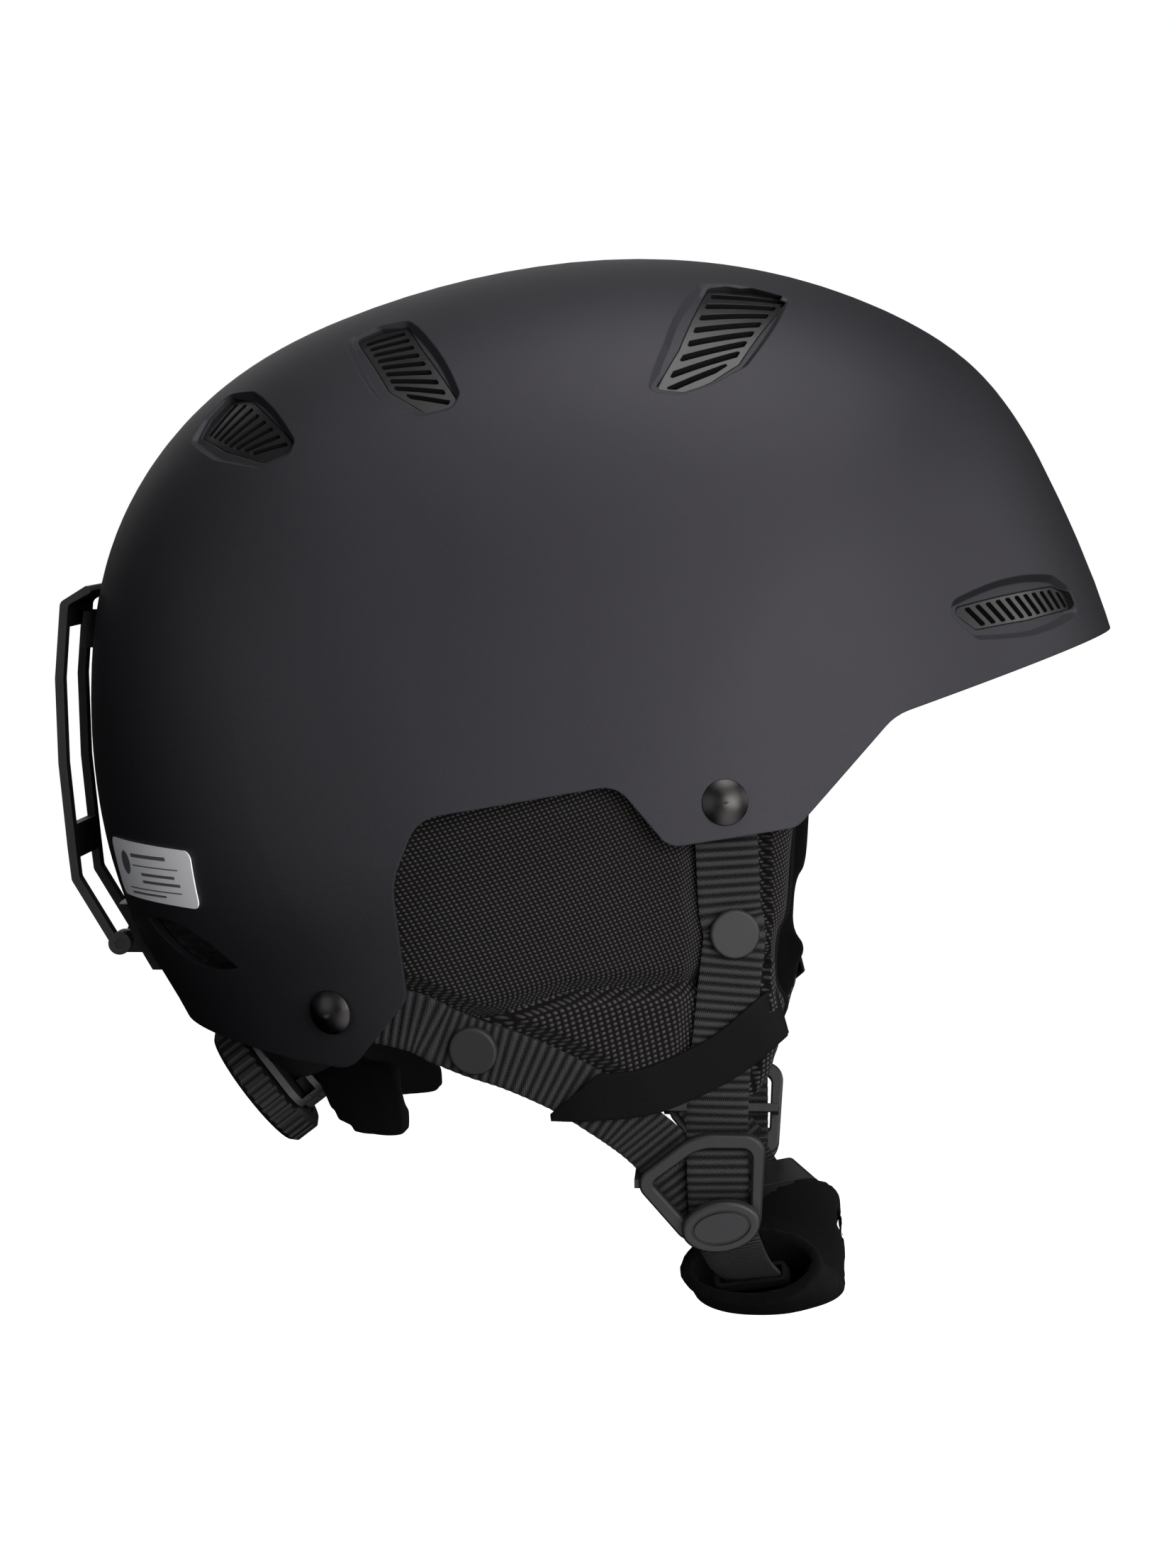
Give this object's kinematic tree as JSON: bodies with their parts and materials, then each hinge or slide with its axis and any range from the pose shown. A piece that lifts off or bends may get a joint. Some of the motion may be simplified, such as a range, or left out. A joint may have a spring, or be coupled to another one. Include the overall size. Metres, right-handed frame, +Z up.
{
  "type": "ski helmet",
  "caption": "Hard-shell ski helmet with grilled vents, soft ear pads, a dial-adjusted fit belt, a hinged goggle strap clip and a padded chin strap with a side-release buckle.",
  "frame": {"origin": "middle of the head cavity, on the line between the ears", "axes": "+X forward, +Y to the wearer's left, +Z up through the crown"},
  "size_m": [0.2868, 0.2126, 0.2885],
  "materials": {
    "shell": "soft-touch matt charcoal",
    "foam": "black bead foam",
    "grille": "satin moulded",
    "fleece": "brushed fleece",
    "woven": "woven nylon",
    "webbing": "ribbed webbing",
    "elastic": "flat elastic",
    "dark_metal": "black oxide",
    "satin_plastic": "satin moulded",
    "grey_plastic": "matt grey",
    "belt_plastic": "smooth flexible",
    "rubber_grip": "ribbed rubber",
    "label": "blank sticker"
  },
  "bodies": {
    "helmet": {"band_anchor_pins": "belt_plastic", "brow_grille_left": "grille", "brow_grille_right": "grille", "brow_pad": "fleece", "buckle_socket": "satin_plastic", "buckle_tail": "webbing", "chin_pad": "fleece", "chin_pad_loops": "elastic", "chin_strap_left": "webbing", "chin_strap_right": "webbing", "crown_front_grille_left": "grille", "crown_front_grille_right": "grille", "crown_mid_grille_left": "grille", "crown_mid_grille_right": "grille", "crown_pad": "fleece", "crown_rear_grille_left": "grille", "crown_rear_grille_right": "grille", "dial_cover": "grey_plastic", "dial_housing": "grey_plastic", "dial_yoke": "belt_plastic", "ear_pad_left": "woven", "ear_pad_lining_left": "fleece", "ear_pad_lining_right": "fleece", "ear_pad_right": "woven", "fit_band_left": "belt_plastic", "fit_band_right": "belt_plastic", "foam_liner": "foam", "front_strap_left": "webbing", "front_strap_right": "webbing", "goggle_clip_base": "grille", "goggle_clip_catch": "grille", "goggle_clip_pin": "dark_metal", "info_label": "label", "keeper_band_left": "elastic", "keeper_band_right": "elastic", "nape_pad": "fleece", "outer_shell": "shell", "rear_pad": "fleece", "rear_strap_left": "webbing", "rear_strap_right": "webbing", "rivet_washers": "dark_metal", "shell_rivets": "dark_metal", "snap_caps": "satin_plastic", "snap_studs": "satin_plastic", "temple_pad_left": "fleece", "temple_pad_right": "fleece"},
    "dial": {"fit_dial": "belt_plastic", "dial_grip": "rubber_grip"},
    "right_rack": {"rack_right": "belt_plastic"},
    "left_rack": {"rack_left": "belt_plastic"},
    "clip": {"goggle_clip": "grille"},
    "plug": {"buckle_plug": "satin_plastic"},
    "right_divider": {"strap_divider_right": "satin_plastic", "divider_badge_right": "satin_plastic"},
    "left_divider": {"strap_divider_left": "satin_plastic", "divider_badge_left": "satin_plastic"}
  },
  "joints": [
    {"name": "fit_dial_turn", "type": "hinge", "parent": "helmet", "child": "dial", "pos_m": [-0.075, 0, -0.06], "axis": [-0.7915, 0, -0.6112], "range_deg": [-86, 86]},
    {"name": "rack_right_slide", "type": "slide", "parent": "helmet", "child": "right_rack", "axis": [0, 1, 0], "range_m": [-0.0061, 0.0061], "deforming": ["fit_band_right"]},
    {"name": "rack_left_slide", "type": "slide", "parent": "helmet", "child": "left_rack", "axis": [0, -1, 0], "range_m": [-0.0061, 0.0061], "deforming": ["fit_band_left"]},
    {"name": "goggle_clip_open", "type": "hinge", "parent": "helmet", "child": "clip", "pos_m": [-0.1158, 0, -0.0232], "axis": [0, -1, 0], "range_deg": [0, 45]},
    {"name": "buckle_release", "type": "slide", "parent": "helmet", "child": "plug", "axis": [0.4335, -0.867, -0.2457], "range_m": [0, 0.01], "deforming": ["chin_strap_left"]},
    {"name": "divider_right_slide", "type": "slide", "parent": "helmet", "child": "right_divider", "axis": [0, 0.2425, -0.9701], "range_m": [-0.005, 0.005], "deforming": ["front_strap_right", "rear_strap_right", "chin_strap_right"]},
    {"name": "divider_left_slide", "type": "slide", "parent": "helmet", "child": "left_divider", "axis": [0, -0.2425, -0.9701], "range_m": [-0.005, 0.005], "deforming": ["front_strap_left", "rear_strap_left", "buckle_tail"]}
  ],
  "couplings": [
    {"joint": "rack_right_slide", "follows": "fit_dial_turn", "m_per_rad": 0.004},
    {"joint": "rack_left_slide", "follows": "fit_dial_turn", "m_per_rad": 0.004}
  ]
}
